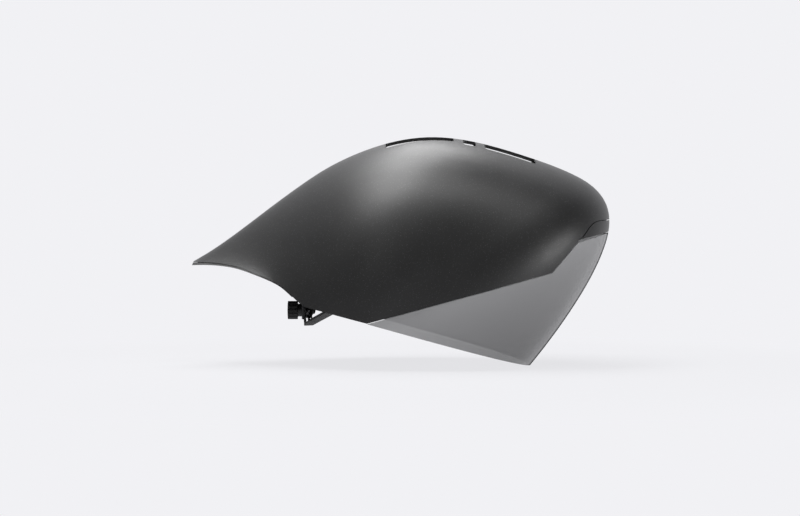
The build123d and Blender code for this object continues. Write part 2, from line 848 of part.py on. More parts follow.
with BuildPart() as side_pad_left:
    with BuildSketch(Plane.XZ):
        with Locations((side_pad_shift, pad_edge + side_pad_height / 2)):
            RectangleRounded(side_pad_length, side_pad_height, pad_corner)
    extrude(amount=-2 * cavity_width)
    add(pad_face, mode=Mode.INTERSECT)
    add(pad_back, mode=Mode.SUBTRACT)
    add(anchor_hollows, mode=Mode.SUBTRACT)
side_pad_left.part.label = "side_pad_left"
side_pad_right = mirrored(side_pad_left.part, "side_pad_right")

# Height track: hangs from the recess's roof and holds the cradle's stem
with BuildPart() as height_track:
    stem_front = ring_centre - ring_radius
    stem_back = ring_centre - cradle_back
    track_top = recess_roof - bond_gap
    with BuildSketch(Plane.XY.offset(track_top)):
        outer_width = stem_width + 2 * track_gap + 2 * track_wall
        outer_back = stem_back - track_gap - track_wall
        outer_front = stem_front + 2 * track_gap + track_wall
        with Locations(((outer_back + outer_front) / 2, 0)):
            Rectangle(outer_front - outer_back, outer_width)
        inner_back = stem_back - track_gap
        inner_front = stem_front + 2 * track_gap
        with Locations(((inner_back + inner_front) / 2, 0)):
            Rectangle(inner_front - inner_back, stem_width + 2 * track_gap, mode=Mode.SUBTRACT)
        with Locations((outer_front, 0)):
            Rectangle(2 * track_wall + 2 * track_gap, stem_width - 2 * track_lip, mode=Mode.SUBTRACT)
    extrude(amount=stem_top - track_hold - track_top)
    with BuildSketch(Plane.XY.offset(track_top)):
        with Locations(((outer_back + outer_front) / 2, 0)):
            flange_length = outer_front - outer_back + 2 * flange_wall
            RectangleRounded(flange_length, outer_width + 2 * track_flange, flange_wall)
    extrude(amount=-flange_wall)
height_track.part.label = "height_track"

nape_arc = degrees(atan2(cradle_width / 2, ring_radius))

# Fit cradle: a band behind the head with a stem up into the track and a saddle for the dial
with BuildPart() as fit_cradle:
    reach_arc = 2 * nape_arc
    band = ring_band(ring_radius, cradle_wall, -reach_arc, reach_arc, saddle_bottom)
    extrude(band, amount=stem_top - saddle_bottom)
    with BuildSketch(Plane.YZ):
        with Locations((0, cradle_top - cradle_height / 2)):
            RectangleRounded(cradle_width, cradle_height, cradle_corner)
        with Locations((0, (cradle_top + saddle_bottom) / 2)):
            RectangleRounded(saddle_width, cradle_top - saddle_bottom, cradle_corner)
        with Locations((0, (stem_top + saddle_bottom) / 2)):
            RectangleRounded(stem_width, stem_top - saddle_bottom, cradle_wall)
    extrude(amount=2 * tail_reach, both=True, mode=Mode.INTERSECT)
    with BuildSketch(Plane.YZ.offset(post_start)):
        with Locations(*post_places):
            Circle(screw_radius + fit_gap)
    extrude(amount=ring_centre - ring_radius + run_in - post_start, mode=Mode.SUBTRACT)
    with BuildSketch(Plane.YZ.offset(post_screw_face)):
        with Locations(*post_places):
            Circle(screw_head_radius)
    extrude(amount=cradle_wall / 2 + run_in, mode=Mode.SUBTRACT)
    with BuildSketch(Plane.YZ.offset(ring_centre - cradle_back - run_in)):
        with Locations((0, dial_axis_height)):
            Circle(shaft_radius + fit_gap)
    extrude(amount=cradle_wall + 2 * run_in, mode=Mode.SUBTRACT)
fit_cradle.part.label = "fit_cradle"

# The nape pads, on the cradle's wings
with BuildPart() as nape_pad_left:
    pad_radius = ring_radius - pad_gap - nape_pad_thickness
    pad_low = cradle_top - cradle_height + nape_pad_margin
    band = ring_band(pad_radius, nape_pad_thickness, nape_pad_start_arc, nape_arc, pad_low)
    extrude(band, amount=cradle_height - 2 * nape_pad_margin)
nape_pad_left.part.label = "nape_pad_left"
nape_pad_right = mirrored(nape_pad_left.part, "nape_pad_right")


def rack_belt(name, layer, rack_side):
    """A rack belt on the left: a toothed bar that widens into a band at its end.

    rack_side is 1 where its rack lies over the pinion and -1 where it lies under it.
    """
    line = dial_axis_height + rack_side * rack_line
    low = cradle_top - (cradle_height + belt_height) / 2
    riser_end = belt_start_arc + rack_height
    pitch_arc = degrees(2 * pi * pinion_radius / pinion_teeth / (layer + rack_wall / 2))
    with BuildPart() as belt:
        bar = ring_band(layer, rack_wall, -rack_arc, riser_end, line)
        extrude(bar, amount=rack_side * rack_height)
        extrude(ring_band(layer, rack_wall, belt_start_arc, belt_end_arc, low), amount=belt_height)
        if rack_side < 0:
            riser = ring_band(layer, rack_wall, belt_start_arc, riser_end, line - rack_height)
            extrude(riser, amount=low + belt_height / 2 - line + rack_height)
        for step in range(rack_teeth):
            arc = (step - (rack_teeth - 1) / 2) * pitch_arc
            foot = ring_point(layer + rack_wall / 2, arc)
            way = (cos(radians(arc)), -sin(radians(arc)), 0)
            with BuildSketch(Plane((foot[0], foot[1], line), x_dir=(-way[1], way[0], 0), z_dir=way)):
                tip = -rack_side * (tooth_root + tooth_rise)
                Polygon(
                    (-tooth_foot / 2, rack_side * tooth_rise),
                    (-tooth_foot / 2, 0),
                    (-tooth_tip / 2, tip),
                    (tooth_tip / 2, tip),
                    (tooth_foot / 2, 0),
                    (tooth_foot / 2, rack_side * tooth_rise),
                    align=None,
                )
            extrude(amount=rack_wall / 2 - fit_gap, both=True)
    belt.part.label = name
    return belt.part


fit_belt_left = rack_belt("fit_belt_left", left_layer, 1)
fit_belt_right = mirrored(rack_belt("lower_belt", right_layer, -1), "fit_belt_right")

# Pinion: ten teeth across both racks, on a shaft that carries the dial
with BuildPart() as pinion:
    gear_front = ring_centre - cradle_back - rack_gap / 2
    gear_back = ring_centre - housing_layer + rack_gap / 2
    with BuildSketch(Plane.YZ.offset(gear_front)):
        with Locations((0, dial_axis_height)):
            Circle(pinion_radius - tooth_root)
            with PolarLocations(0, pinion_teeth, start_angle=90):
                Polygon(
                    (0, -tooth_foot / 2),
                    (pinion_radius - tooth_root, -tooth_foot / 2),
                    (pinion_radius + tooth_rise, -tooth_tip / 2),
                    (pinion_radius + tooth_rise, tooth_tip / 2),
                    (pinion_radius - tooth_root, tooth_foot / 2),
                    (0, tooth_foot / 2),
                    align=None,
                )
    extrude(amount=gear_back - gear_front)
    with BuildSketch(Plane.YZ.offset(ring_centre - ring_radius - rack_gap)):
        with Locations((0, dial_axis_height)):
            Circle(shaft_radius)
    extrude(amount=dial_front - dial_length / 2 - ring_centre + ring_radius + rack_gap)
    with BuildSketch(Plane.YZ.offset(dial_front - dial_length / 2)):
        with Locations((0, dial_axis_height)):
            Circle(screw_radius + fit_gap)
    extrude(amount=screw_depth, mode=Mode.SUBTRACT)
pinion.part.label = "pinion"

# Dial housing: closes the racks in from behind and carries the dial on its boss
with BuildPart() as dial_housing:
    band = ring_band(housing_layer, housing_wall, -housing_arc, housing_arc, housing_bottom)
    extrude(band, amount=housing_top - housing_bottom)
    with BuildSketch(Plane.YZ.offset(housing_back)):
        with Locations((0, dial_axis_height)):
            Circle(housing_boss_radius)
    extrude(amount=housing_boss + housing_wall / 2)
    with BuildSketch(Plane.YZ.offset(post_start)):
        with Locations(*post_places):
            Circle(post_radius)
    extrude(amount=post_end - post_start)
    with BuildSketch(Plane.YZ.offset(housing_back)):
        with Locations((0, dial_axis_height)):
            Circle(shaft_radius + fit_gap)
    extrude(amount=housing_boss + housing_wall + run_in, mode=Mode.SUBTRACT)
    with BuildSketch(Plane.YZ.offset(post_screw_end - fit_gap)):
        with Locations(*post_places):
            Circle(screw_radius + fit_gap)
    extrude(amount=post_end - post_screw_end + fit_gap, mode=Mode.SUBTRACT)
dial_housing.part.label = "dial_housing"

with BuildPart() as housing_screws:
    with BuildSketch(Plane.YZ.offset(post_screw_face)):
        with Locations(*post_places):
            Circle(screw_head_radius - fit_gap)
    extrude(amount=screw_head)
    with BuildSketch(Plane.YZ.offset(post_screw_face)):
        with Locations(*post_places):
            Circle(screw_radius)
    extrude(amount=-post_screw_depth)
housing_screws.part.label = "housing_screws"

# Dial: a lobed knob with a well in its front for the click spring
with BuildPart() as dial:
    with BuildSketch(Plane.YZ.offset(dial_front)):
        with Locations((0, dial_axis_height)):
            Circle(dial_radius - dial_lobe_radius / 2)
            with PolarLocations(dial_radius - dial_lobe_radius, dial_lobes):
                Circle(dial_lobe_radius)
    extrude(amount=-dial_length)
    with BuildSketch(Plane.YZ.offset(dial_front)):
        with Locations((0, dial_axis_height)):
            Circle(dial_radius - dial_rim)
            Circle(shaft_radius + spring_wall, mode=Mode.SUBTRACT)
    extrude(amount=-dial_well, mode=Mode.SUBTRACT)
    with BuildSketch(Plane.YZ.offset(dial_front)):
        with Locations((0, dial_axis_height)):
            Circle(shaft_radius + fit_gap)
    extrude(amount=-dial_length / 2 - fit_gap, mode=Mode.SUBTRACT)
    with BuildSketch(Plane.YZ.offset(dial_back)):
        with Locations((0, dial_axis_height)):
            Circle(screw_radius + fit_gap)
    extrude(amount=dial_length, mode=Mode.SUBTRACT)
    with BuildSketch(Plane.YZ.offset(dial_back)):
        with Locations((0, dial_axis_height)):
            Circle(screw_head_radius)
    extrude(amount=screw_head + fit_gap, mode=Mode.SUBTRACT)
dial.part.label = "dial"

with BuildPart() as dial_screw:
    with BuildSketch(Plane.YZ.offset(dial_back + fit_gap)):
        with Locations((0, dial_axis_height)):
            Circle(screw_head_radius - fit_gap)
    extrude(amount=screw_head - fit_gap)
    with BuildSketch(Plane.YZ.offset(dial_back + fit_gap)):
        with Locations((0, dial_axis_height)):
            Circle(screw_radius)
    extrude(amount=dial_length / 2 + screw_depth / 2)
dial_screw.part.label = "dial_screw"

# Click spring: stands on the housing's boss inside the dial's well, with two curved arms
with BuildPart() as click_spring:
    inner = shaft_radius + spring_wall + spring_room
    root = inner + spring_wall / 2
    outer = dial_radius - dial_rim - spring_wall - spring_gap
    spring_plane = Plane((housing_back, 0, dial_axis_height), x_dir=(0, 1, 0), z_dir=(1, 0, 0))
    with BuildSketch(spring_plane):
        Circle(inner + spring_wall)
        Circle(inner, mode=Mode.SUBTRACT)
        for turn in (0, half_turn):
            swell = (root + outer) / 2
            mid = radians(turn + spring_mid_arc)
            tip = radians(turn + spring_end_arc)
            with BuildLine():
                ThreePointArc(
                    (root * cos(radians(turn)), root * sin(radians(turn))),
                    (swell * cos(mid), swell * sin(mid)),
                    (outer * cos(tip), outer * sin(tip)),
                )
            trace(line_width=spring_wall)
    extrude(amount=spring_gap - dial_gap - dial_well)
click_spring.part.label = "click_spring"


def hardware(side):
    """The pieces of the webbing on one side: side strap, divider and chin strap."""
    name = "left" if side > 0 else "right"
    first, second, leg = strap_places()
    first_plane, second_plane = strap_planes(side)
    middle = side * strap_rear_side
    leg_plane = Plane((0, middle, 0), x_dir=(1, 0, 0), z_dir=(0, -1, 0))
    with BuildPart() as strap:
        with BuildSketch(second_plane):
            with BuildLine():
                FilletPolyline(second, radius=web_bend)
            trace(line_width=web_thickness)
        extrude(amount=web_width / 2, both=True)
        with BuildSketch(Plane.YZ.offset(strap_rear + strap_lean - web_thickness / 2)):
            Rectangle(2 * reach_across, whole_height)
        extrude(amount=-tail_reach, mode=Mode.SUBTRACT)
        with BuildSketch(leg_plane):
            with BuildLine():
                FilletPolyline(leg, radius=web_bend)
            trace(line_width=web_thickness)
        extrude(amount=web_width / 2, both=True)
        with BuildSketch(Plane.XY.offset(strap_low - web_thickness / 2)):
            Rectangle(whole_length, 2 * reach_across)
        extrude(amount=-neck_reach, mode=Mode.SUBTRACT)
        with BuildSketch(first_plane):
            with BuildLine():
                FilletPolyline(first, radius=web_bend)
            trace(line_width=web_thickness)
        extrude(amount=web_width / 2, both=True)
    strap.part.label = "side_strap_" + name
    with BuildPart() as divider:
        with BuildSketch(Plane.XY.offset(divider_level)):
            with Locations((strap_rear, middle)):
                depth = web_thickness + 2 * divider_gap
                width = web_width + 2 * web_gap
                Rectangle(depth + 2 * divider_wall, width + 2 * divider_wall)
                Rectangle(depth, width, mode=Mode.SUBTRACT)
        extrude(amount=divider_height / 2, both=True)
    divider.part.label = "strap_divider_" + name
    with BuildPart() as chin:
        layer = strap_rear - web_thickness - web_gap
        low = divider_level + divider_height / 2 + pad_gap
        with BuildSketch(Plane.XY.offset(low)):
            with Locations((layer, middle)):
                Rectangle(web_thickness, web_width)
        extrude(amount=chin_strap_level + web_width / 2 - low)
        with BuildSketch(Plane.XY.offset(chin_strap_level - web_width / 2)):
            with BuildLine():
                FilletPolyline(
                    (layer, middle - side * web_width / 2),
                    (layer, side * chin_strap_fold),
                    (chin_strap_plane, side * chin_strap_fold),
                    (chin_strap_plane, side * chin_strap_end),
                    radius=chin_strap_bend,
                )
            trace(line_width=web_thickness)
        extrude(amount=web_width)
    chin.part.label = "chin_strap_" + name
    return strap.part, divider.part, chin.part


side_strap_left, strap_divider_left, chin_strap_left = hardware(1)
side_strap_right, strap_divider_right, chin_strap_right = hardware(-1)

with BuildPart() as strap_anchors:
    for side in (1, -1):
        with BuildSketch(strap_planes(side)[0]):
            with Locations((0, strap_front_top + strap_anchor_height / 2)):
                Rectangle(strap_anchor_length, strap_anchor_height)
        extrude(amount=web_width / 2 + strap_anchor_lap, both=True)
        with BuildSketch(Plane.XY.offset(strap_rear_top)):
            with Locations((strap_rear, side * strap_rear_side)):
                Rectangle(strap_anchor_length, web_width + 2 * strap_anchor_lap)
        extrude(amount=strap_anchor_height)
strap_anchors.part.label = "strap_anchors"


def buckle_half_piece(side):
    """One half of the magnetic chin buckle: a plate beyond the middle and a bar at the strap."""
    middle = chin_strap_plane
    bar_depth = buckle_plate + panel_gap / 2
    with BuildPart() as half:
        with BuildSketch(Plane.XY.offset(chin_strap_level)):
            plate_x = middle + side * (panel_gap / 2 + buckle_plate / 2)
            with Locations((plate_x, side * (buckle_half - (buckle_half - buckle_lap)) / 2)):
                Rectangle(buckle_plate, 2 * buckle_half - buckle_lap)
            with Locations((middle, side * (buckle_half + buckle_bar / 2))):
                Rectangle(2 * bar_depth, buckle_bar)
        extrude(amount=buckle_width / 2, both=True)
    return half.part


with BuildPart() as buckle_socket:
    add(buckle_half_piece(1))
    with BuildSketch(Plane.YZ.offset(chin_strap_plane + panel_gap / 2)):
        with Locations((0, chin_strap_level)):
            Circle(buckle_stud_radius + bond_gap)
    extrude(amount=buckle_stud + bond_gap, mode=Mode.SUBTRACT)
buckle_socket.part.label = "buckle_socket"

with BuildPart() as buckle_plug:
    add(buckle_half_piece(-1))
    with BuildSketch(Plane.YZ.offset(chin_strap_plane - panel_gap / 2)):
        with Locations((0, chin_strap_level)):
            Circle(buckle_stud_radius)
    extrude(amount=buckle_stud)
buckle_plug.part.label = "buckle_plug"


def sleeve(place, length, wall, name):
    """A sleeve round the chin strap at a place across the helmet."""
    with BuildPart() as ring:
        with BuildSketch(Plane.XZ.offset(-place - length / 2)):
            with Locations((chin_strap_plane, chin_strap_level)):
                depth = web_thickness + 2 * web_gap
                height = web_width + web_gap
                RectangleRounded(depth + 2 * wall, height + 2 * keeper_wall, wall / 2)
                Rectangle(depth, height, mode=Mode.SUBTRACT)
        extrude(amount=length)
    ring.part.label = name
    return ring.part


chin_pad = sleeve(chin_pad_place, chin_pad_length, chin_pad_wall, "chin_pad")
strap_keeper = sleeve(-keeper_place, keeper_length, keeper_wall, "strap_keeper")

pieces = (
    outer_shell.part,
    brow_cover.part,
    under_tail_panel.part,
    foam_liner.part,
    tail_foam.part,
    visor.part,
    visor_magnets.part,
    shell_magnets.part,
    slip_liner.part,
    slip_anchors.part,
    brow_pad.part,
    crown_pad.part,
    side_pad_left.part,
    side_pad_right,
    height_track.part,
    fit_cradle.part,
    nape_pad_left.part,
    nape_pad_right,
    fit_belt_left,
    fit_belt_right,
    pinion.part,
    dial_housing.part,
    housing_screws.part,
    dial.part,
    dial_screw.part,
    click_spring.part,
    side_strap_left,
    side_strap_right,
    strap_anchors.part,
    strap_divider_left,
    strap_divider_right,
    chin_strap_left,
    chin_strap_right,
    buckle_socket.part,
    buckle_plug.part,
    chin_pad,
    strap_keeper,
)

os.makedirs("parts", exist_ok=True)
for piece in pieces:
    export_step(piece, os.path.join("parts", piece.label + ".step"))
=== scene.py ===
"""Dresses the aero time trial helmet: its finishes, webbing, pads, studio and camera.

Metres, in the helmet's own frame: +X is forward, +Z is up, and the origin is the centre of the
head that wears it.
"""

from __future__ import annotations

import json
import logging
import math
from dataclasses import dataclass, field
from enum import Enum
from typing import Any, Protocol

import bpy
from mathutils import Matrix, Vector

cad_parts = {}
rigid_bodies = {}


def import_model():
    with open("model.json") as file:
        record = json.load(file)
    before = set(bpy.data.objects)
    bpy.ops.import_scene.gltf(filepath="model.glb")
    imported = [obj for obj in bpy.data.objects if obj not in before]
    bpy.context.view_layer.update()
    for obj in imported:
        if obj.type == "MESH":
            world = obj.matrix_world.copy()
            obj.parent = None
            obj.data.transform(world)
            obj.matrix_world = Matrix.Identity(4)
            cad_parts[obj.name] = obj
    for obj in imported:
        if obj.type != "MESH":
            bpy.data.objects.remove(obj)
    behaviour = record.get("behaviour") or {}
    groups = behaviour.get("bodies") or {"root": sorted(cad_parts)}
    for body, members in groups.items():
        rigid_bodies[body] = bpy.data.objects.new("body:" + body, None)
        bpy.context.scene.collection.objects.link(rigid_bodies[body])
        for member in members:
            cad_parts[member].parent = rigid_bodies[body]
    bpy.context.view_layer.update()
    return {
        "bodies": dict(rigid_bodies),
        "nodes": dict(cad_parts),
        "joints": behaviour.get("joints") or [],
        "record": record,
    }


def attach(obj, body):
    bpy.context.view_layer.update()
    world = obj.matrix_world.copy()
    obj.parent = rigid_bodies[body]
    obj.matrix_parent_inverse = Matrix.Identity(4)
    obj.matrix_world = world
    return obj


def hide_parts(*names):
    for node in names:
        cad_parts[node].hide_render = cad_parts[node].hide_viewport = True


LOG = logging.getLogger("helmet")
MM = 0.001
HALF = 0.5
BLUE_LIFT = 1.03
# Of a Mix node's sockets, those of its factor and of its two colours
MIX_SOCKETS = (0, 6, 7)


class Side(Enum):
    """A side of the helmet, as its wearer has it."""

    LEFT = 1
    RIGHT = -1

    @property
    def word(self) -> str:
        """The side's name in a piece's name."""
        return self.name.lower()


class PadKind(Enum):
    """How full a comfort pad is, and how far its cloth may swell, in metres."""

    BROW = (0.75, 0.0012)
    CROWN = (0.7, 0.0012)
    SIDE = (0.7, 0.0012)
    NAPE = (0.7, 0.001)
    CHIN = (0.5, 0.0005)

    @property
    def fill(self) -> float:
        """How full the pad is, from 0 to 1."""
        return self.value[0]

    @property
    def swell(self) -> float:
        """The furthest that a point of its cloth may move out."""
        return self.value[1]


# Shader building


class ShaderNumber:
    """A number in a shader, joined with others by Python's own arithmetic."""

    def __init__(self, board: NodeBoard, socket: bpy.types.NodeSocket) -> None:
        """Keeps the socket that gives the number.

        Args:
            board: The node board that the number is on.
            socket: The output socket that gives it.
        """
        self.board = board
        self.socket = socket

    def __add__(self, other: Any) -> ShaderNumber:
        """This number plus another."""
        return self.board.maths("ADD", self, other)

    __radd__ = __add__

    def __sub__(self, other: Any) -> ShaderNumber:
        """This number less another."""
        return self.board.maths("SUBTRACT", self, other)

    def __rsub__(self, other: Any) -> ShaderNumber:
        """Another number less this one."""
        return self.board.maths("SUBTRACT", other, self)

    def __mul__(self, other: Any) -> ShaderNumber:
        """This number times another."""
        return self.board.maths("MULTIPLY", self, other)

    __rmul__ = __mul__

    def __pow__(self, other: Any) -> ShaderNumber:
        """This number to a power."""
        return self.board.maths("POWER", self, other)


class NodeBoard:
    """The nodes of a material or the world, with one method for each thing that goes on them."""

    def __init__(self, owner: bpy.types.Material | bpy.types.World) -> None:
        """Starts with no nodes.

        Args:
            owner: The material or the world that the nodes belong to.
        """
        owner.use_nodes = True
        self.tree = owner.node_tree
        self.tree.nodes.clear()

    def node(
        self, kind: str, settings: dict[str, Any] | None = None, **inputs: Any
    ) -> bpy.types.Node:
        """Adds a node, makes its settings and then fills its sockets.

        Args:
            kind: The node's type.
            settings: Its own settings.
            **inputs: Socket names, with _ for a space, and their values or links.

        Returns:
            The new node.
        """
        made = self.tree.nodes.new(kind)
        for key, value in (settings or {}).items():
            setattr(made, key, value)
        for key, value in inputs.items():
            self.feed(made.inputs[key.replace("_", " ")], value)
        return made

    def feed(self, socket: bpy.types.NodeSocket, value: Any) -> None:
        """Gives a socket a value or a link.

        Args:
            socket: The input socket.
            value: A number, a colour, a ShaderNumber or an output socket.
        """
        if isinstance(value, ShaderNumber):
            value = value.socket
        if isinstance(value, bpy.types.NodeSocket):
            self.tree.links.new(value, socket)
        else:
            socket.default_value = value

    def maths(self, operation: str, *values: Any) -> ShaderNumber:
        """Adds one Math node.

        Args:
            operation: What the node does.
            *values: Its numbers, each a value or a ShaderNumber.

        Returns:
            The node's result.
        """
        made = self.node("ShaderNodeMath", {"operation": operation})
        for socket, value in zip(made.inputs, values):
            self.feed(socket, value)
        return ShaderNumber(self, made.outputs[0])

    def parts(self, vector: bpy.types.NodeSocket) -> list[ShaderNumber]:
        """The three numbers of a vector."""
        made = self.node("ShaderNodeSeparateXYZ", Vector=vector)
        return [ShaderNumber(self, socket) for socket in made.outputs]

    def mixed(
        self, factor: Any, first: bpy.types.Node, second: bpy.types.Node
    ) -> bpy.types.Node:
        """Mixes two shaders.

        Args:
            factor: 0 for the first and 1 for the second.
            first: A shader's node.
            second: A shader's node.

        Returns:
            The mixing node.
        """
        made = self.node("ShaderNodeMixShader", Fac=factor)
        self.feed(made.inputs[1], first.outputs[0])
        self.feed(made.inputs[2], second.outputs[0])
        return made


class ShaderBoard(NodeBoard):
    """The node board of one material."""

    def __init__(self, name: str) -> None:
        """Starts an empty material.

        Args:
            name: The material's name.
        """
        self.material = bpy.data.materials.new(name)
        super().__init__(self.material)

    def place(self, turn: tuple[float, float, float] = (0, 0, 0)) -> bpy.types.NodeSocket:
        """The place on the object, turned about the origin.

        Args:
            turn: The turn about X, Y and Z in radians.

        Returns:
            The vector socket.
        """
        made = self.node("ShaderNodeTexCoord").outputs["Object"]
        return self.node("ShaderNodeMapping", Vector=made, Rotation=turn).outputs[0]

    def laid(self, layer: str) -> bpy.types.NodeSocket:
        """The place on a piece's own UV map."""
        return self.node("ShaderNodeUVMap", {"uv_map": layer}).outputs[0]

    def noise(
        self, vector: bpy.types.NodeSocket, scale: float, detail: float = 2.0
    ) -> ShaderNumber:
        """Soft noise from 0 to 1.

        Args:
            vector: The place that it is read at.
            scale: How many times it repeats in a metre.
            detail: How many finer layers it has.

        Returns:
            The noise.
        """
        made = self.node("ShaderNodeTexNoise", Vector=vector, Scale=scale, Detail=detail)
        return ShaderNumber(self, made.outputs["Fac"])

    def cells(
        self, vector: bpy.types.NodeSocket, scale: float, feature: str = "F1"
    ) -> bpy.types.Node:
        """A Voronoi texture.

        Args:
            vector: The place that it is read at.
            scale: How many cells lie along a metre.
            feature: What it measures.

        Returns:
            The node.
        """
        return self.node(
            "ShaderNodeTexVoronoi", {"feature": feature}, Vector=vector, Scale=scale
        )

    def steps(self, value: ShaderNumber, low: float, high: float) -> ShaderNumber:
        """A smooth step from 0 at low to 1 at high.

        Args:
            value: The number that is read.
            low: Where the step starts.
            high: Where it ends.

        Returns:
            The step.
        """
        made = self.node(
            "ShaderNodeMapRange",
            {"interpolation_type": "SMOOTHSTEP"},
            Value=value,
            From_Min=low,
            From_Max=high,
        )
        return ShaderNumber(self, made.outputs["Result"])

    def blend(self, factor: Any, first: Any, second: Any) -> bpy.types.NodeSocket:
        """Mixes two colours.

        Args:
            factor: 0 for the first and 1 for the second.
            first: A colour or a socket.
            second: A colour or a socket.

        Returns:
            The mixed colour's socket.
        """
        made = self.node("ShaderNodeMix", {"data_type": "RGBA"})
        for index, value in zip(MIX_SOCKETS, (factor, first, second)):
            self.feed(made.inputs[index], value)
        return made.outputs[2]

    def bump(self, height: Any, distance: float, strength: float = 1.0) -> bpy.types.NodeSocket:
        """A normal from a height.

        Args:
            height: The height, from 0 to 1.
            distance: How deep a height of 1 is, in metres.
            strength: How much of it shows.

        Returns:
            The normal's socket.
        """
        made = self.node("ShaderNodeBump", Height=height, Distance=distance, Strength=strength)
        return made.outputs[0]

    def finish(self, shader: bpy.types.Node) -> bpy.types.Material:
        """Makes a shader the material's surface.

        Args:
            shader: The shader's node.

        Returns:
            The whole material.
        """
        self.node("ShaderNodeOutputMaterial", Surface=shader.outputs[0])
        return self.material

    def surface(self, **inputs: Any) -> bpy.types.Material:
        """Makes a Principled shader the material's surface.

        Args:
            **inputs: Its sockets, with _ for a space.

        Returns:
            The whole material.
        """
        return self.finish(self.node("ShaderNodeBsdfPrincipled", **inputs))


def grey(level: float) -> tuple[float, float, float, float]:
    """A neutral colour of one linear level, a very little bluer."""
    return (level, level, level * BLUE_LIFT, 1.0)


# Finishes


class Finish(Protocol):
    """Anything that can make a material."""

    def build(self) -> bpy.types.Material:
        """Makes the material."""


@dataclass(frozen=True)
class ShellPaint:
    """Matte black paint with very fine pale flecks in it."""

    name: str = "shell_paint"
    base: float = 0.006
    fleck: float = 0.085
    fleck_size: float = 0.55 * MM
    fleck_share: float = 0.15
    fleck_edge: tuple[float, float] = (0.25, 0.5)
    rough: float = 0.40
    swing: float = 0.08
    cloud: float = 45.0
    cloud_detail: float = 3.0
    worn_share: float = 0.25
    worn_lift: float = 1.8
    grain: float = 2600.0
    grain_depth: float = 0.02 * MM
    grain_show: float = 0.5

    def build(self) -> bpy.types.Material:
        """Makes the material."""
        board = ShaderBoard(self.name)
        place = board.place()
        cells = board.cells(place, 1 / self.fleck_size)
        tone = board.parts(cells.outputs["Color"])[0]
        away = ShaderNumber(board, cells.outputs["Distance"])
        near = 1 - board.steps(away, *self.fleck_edge)
        fleck = board.steps(tone, 1 - self.fleck_share, 1) * near
        cloud = board.noise(place, self.cloud, self.cloud_detail)
        color = board.blend(fleck, grey(self.base), grey(self.fleck))
        worn = grey(self.base * self.worn_lift)
        grain = board.noise(place, self.grain)
        return board.surface(
            Base_Color=board.blend(cloud * self.worn_share, color, worn),
            Roughness=self.rough + cloud * self.swing - fleck * self.swing,
            Normal=board.bump(grain, self.grain_depth, self.grain_show),
        )


@dataclass(frozen=True)
class MouldedPlastic:
    """Moulded plastic with the fine spark grain of its mould."""

    name: str
    base: float = 0.012
    rough: float = 0.5
    grain: float = 0.35 * MM
    depth: float = 0.03 * MM
    show: float = 0.6
    swing: float = 0.1
    cloud: float = 60.0
    cloud_detail: float = 3.0
    worn_share: float = 0.5
    worn_lift: float = 1.7

    def build(self) -> bpy.types.Material:
        """Makes the material."""
        board = ShaderBoard(self.name)
        place = board.place()
        grain = ShaderNumber(board, board.cells(place, 1 / self.grain).outputs["Distance"])
        cloud = board.noise(place, self.cloud, self.cloud_detail)
        worn = grey(self.base * self.worn_lift)
        return board.surface(
            Base_Color=board.blend(cloud * self.worn_share, grey(self.base), worn),
            Roughness=self.rough + cloud * self.swing,
            Normal=board.bump(grain, self.depth, self.show),
        )


@dataclass(frozen=True)
class FoamBeads:
    """Black expanded polystyrene: packed beads with fine dark lines between them."""

    name: str = "foam_beads"
    base: float = 0.014
    bead: float = 2.6 * MM
    seam: float = 0.12
    seam_sink: float = 0.4
    tone_share: float = 0.6
    tone_lift: float = 2.0
    rough: float = 0.62
    swing: float = 0.12
    depth: float = 0.18 * MM
    show: float = 0.7

    def build(self) -> bpy.types.Material:
        """Makes the material."""
        board = ShaderBoard(self.name)
        place = board.place()
        edge = board.cells(place, 1 / self.bead, "DISTANCE_TO_EDGE")
        seam = board.steps(ShaderNumber(board, edge.outputs["Distance"]), 0, self.seam)
        tone = board.parts(board.cells(place, 1 / self.bead).outputs["Color"])[1]
        pale = grey(self.base * self.tone_lift)
        color = board.blend(tone * self.tone_share, grey(self.base), pale)
        return board.surface(
            Base_Color=board.blend(seam, grey(self.base * self.seam_sink), color),
            Roughness=self.rough + tone * self.swing,
            Normal=board.bump(seam, self.depth, self.show),
        )


@dataclass(frozen=True)
class SmokedLens:
    """Glossy grey polycarbonate that light passes through.

    It is darker and less see-through towards its lower tip, and dark where it is seen edge on.
    """

    name: str = "smoked_lens"
    pale: float = 0.66
    deep: float = 0.42
    edge: float = 0.05
    thin: float = 0.61
    tip_alpha: float = 0.74
    rough: float = 0.14
    top: float = 0.03
    tip: float = -0.10
    rim: tuple[float, float] = (0.80, 0.95)
    rim_blend: float = 0.5
    cloud: float = 14.0
    haze: float = 0.08
    rough_swing: float = 0.03
    bending: float = 1.45

    def build(self) -> bpy.types.Material:
        """Makes the material."""
        board = ShaderBoard(self.name)
        place = board.place()
        height = board.parts(place)[2]
        # 0 at the top and 1 at the lower tip, where the colour is darker and the lens less
        # see-through
        tip_share = 1 - board.steps(height, self.tip, self.top)
        cloud = board.noise(place, self.cloud)
        facing = board.node("ShaderNodeLayerWeight", Blend=self.rim_blend).outputs["Facing"]
        rim = board.steps(ShaderNumber(board, facing), *self.rim)
        alpha = self.thin + tip_share * (self.tip_alpha - self.thin)
        body = board.blend(tip_share, grey(self.pale), grey(self.deep))
        color = board.blend(cloud * self.haze, body, grey(self.edge))
        lens = board.node(
            "ShaderNodeBsdfPrincipled",
            Base_Color=color,
            Roughness=self.rough + cloud * self.rough_swing,
            Alpha=alpha,
            IOR=self.bending,
        )
        line = board.node("ShaderNodeBsdfDiffuse", Color=grey(self.edge))
        return board.finish(board.mixed(rim, lens, line))


